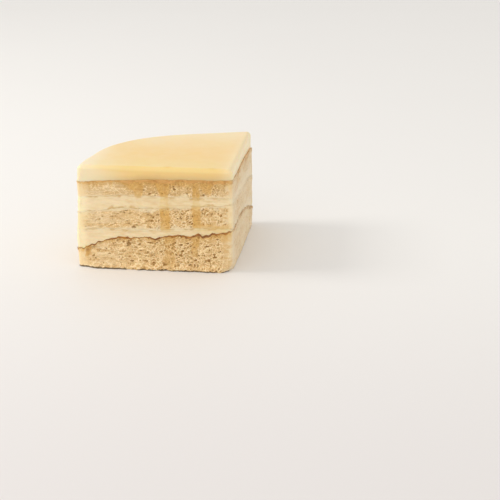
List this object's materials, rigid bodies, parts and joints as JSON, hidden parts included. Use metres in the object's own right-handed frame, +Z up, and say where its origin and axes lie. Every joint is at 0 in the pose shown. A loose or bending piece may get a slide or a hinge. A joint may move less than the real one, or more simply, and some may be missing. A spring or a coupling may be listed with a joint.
{
  "type": "bee sting cake",
  "caption": "Quarter of a round layer cake: sponge layers with cream fillings between them under a thick, smooth honey custard topping.",
  "frame": {"origin": "middle of the bounding box at the base, on the surface that the cake stands on", "axes": "+Z up. The front cut face looks along -Y and the side cut face along +X; they meet at the cake's centre. The cake's round side is towards -X and +Y."},
  "size_m": [0.0936, 0.0954, 0.0617],
  "materials": {
    "sponge": "open, soft sponge crumb, pale gold, with a thin brown crust on top and honey-soaked streaks",
    "cream": "smooth pale custard cream, softly satin",
    "topping": "smooth set honey custard, softly glossy yellow"
  },
  "bodies": {
    "root": {"sponge_bottom": "sponge", "cream_lower": "cream", "sponge_middle": "sponge", "cream_upper": "cream", "sponge_top": "sponge", "topping": "topping"}
  },
  "joints": []
}
